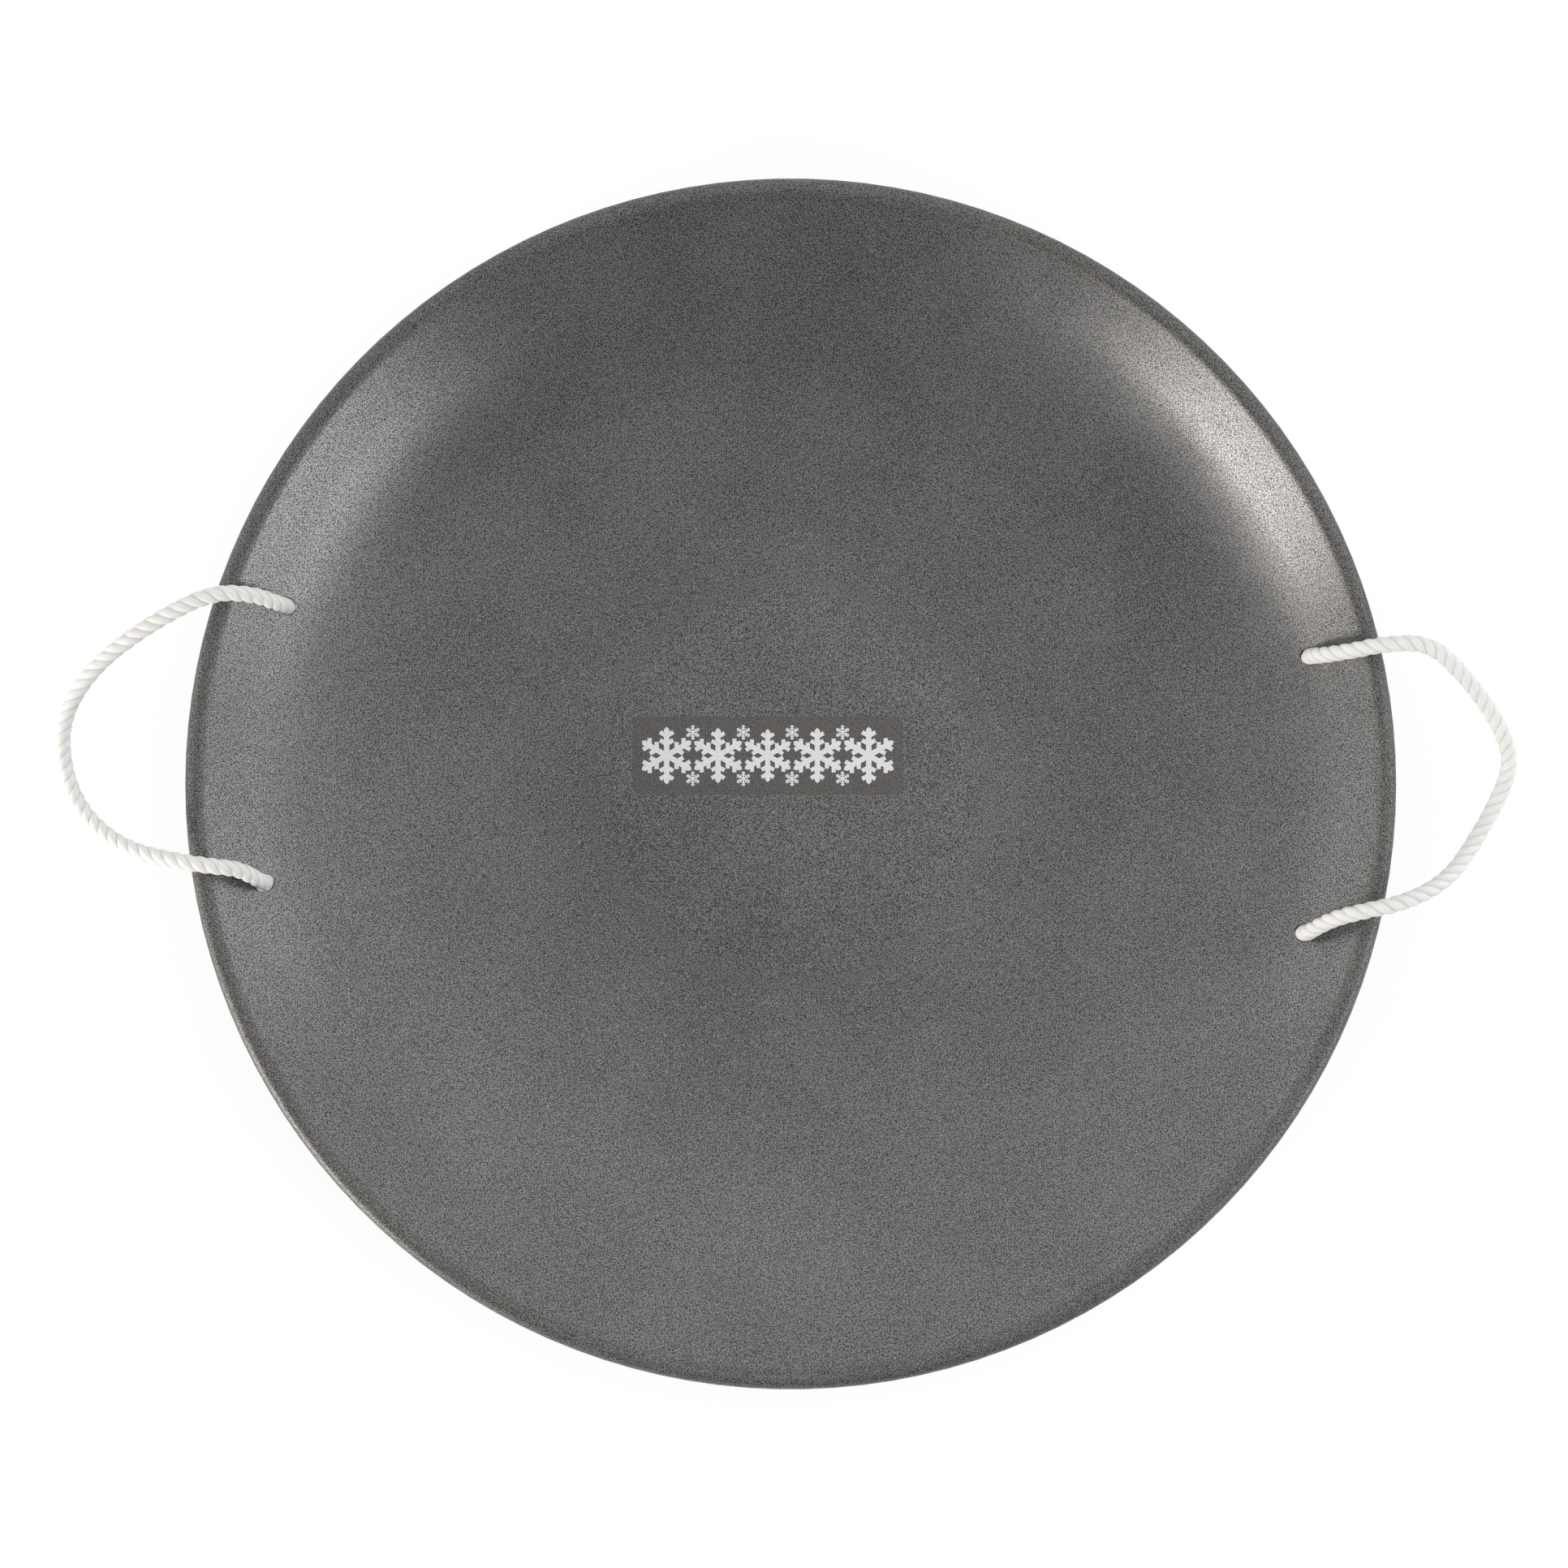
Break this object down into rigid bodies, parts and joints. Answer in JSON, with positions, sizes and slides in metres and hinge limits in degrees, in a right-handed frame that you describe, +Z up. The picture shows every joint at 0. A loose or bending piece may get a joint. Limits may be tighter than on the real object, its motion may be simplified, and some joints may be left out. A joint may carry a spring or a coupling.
{
  "type": "saucer sled",
  "caption": "Round steel saucer sled: a shallow dished disc with a rolled rim and a textured dark grey coat, with twisted rope handles knotted through holes near the rim and a plain label.",
  "frame": {"origin": "centre of the flat underside, on the surface that the sled stands on", "axes": "+Z up along the disc's axis, +X towards the right handle, +Y to the rear"},
  "size_m": [0.8009, 0.6598, 0.089],
  "materials": {
    "painted_steel": "textured satin coat",
    "label": "clear satin film",
    "rope": "three-strand twisted polypropylene"
  },
  "bodies": {
    "saucer": {"saucer_shell": "painted_steel", "label_film": "label", "left_rear_rope_end": "rope", "left_rear_knot": "rope", "left_front_rope_end": "rope", "left_front_knot": "rope", "right_rear_rope_end": "rope", "right_rear_knot": "rope", "right_front_rope_end": "rope", "right_front_knot": "rope"},
    "left_handle": {"left_rope_loop": "rope"},
    "right_handle": {"right_rope_loop": "rope"}
  },
  "joints": [
    {"name": "left_handle_swing", "type": "hinge", "parent": "saucer", "child": "left_handle", "pos_m": [-0.28387, 0.00793, 0.05905], "axis": [0.0279, 0.9996, 0], "range_deg": [0, 120]},
    {"name": "right_handle_swing", "type": "hinge", "parent": "saucer", "child": "right_handle", "pos_m": [0.28387, 0.00793, 0.05905], "axis": [0.0279, -0.9996, 0], "range_deg": [0, 120]}
  ]
}
